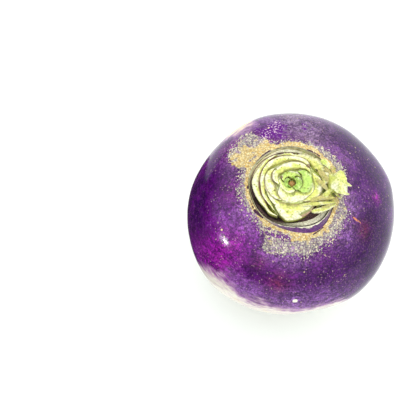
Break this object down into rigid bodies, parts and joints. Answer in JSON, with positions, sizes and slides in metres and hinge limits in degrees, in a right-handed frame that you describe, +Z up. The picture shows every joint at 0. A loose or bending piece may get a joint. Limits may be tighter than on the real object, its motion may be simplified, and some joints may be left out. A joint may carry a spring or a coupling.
{
  "type": "rutabaga",
  "caption": "Round purple-skinned root vegetable with its leaves cut off close to the crown and its taproot trimmed to a small flat spot that it stands on.",
  "frame": {"origin": "centre of the trimmed taproot's flat cut, which the root stands on", "axes": "+Z up through the crown, -Y towards the side nearest in a view from the front, +X to the right of that view"},
  "size_m": [0.0992, 0.0989, 0.0815],
  "materials": {
    "purple_skin": "thin waxy skin, satin to glossy, deep violet above and cream below the soil line",
    "cut_leaf_base": "moist cut plant flesh, pale yellow-green, brown along the cut edges",
    "corky_scar": "dry tan to grey cork in thin flakes, matte",
    "root_flesh": "pale cream cut root flesh, a little dried, with fine rings"
  },
  "bodies": {
    "root": {"swollen_root": "purple_skin", "leaf_base_rosette": "cut_leaf_base"}
  },
  "joints": []
}
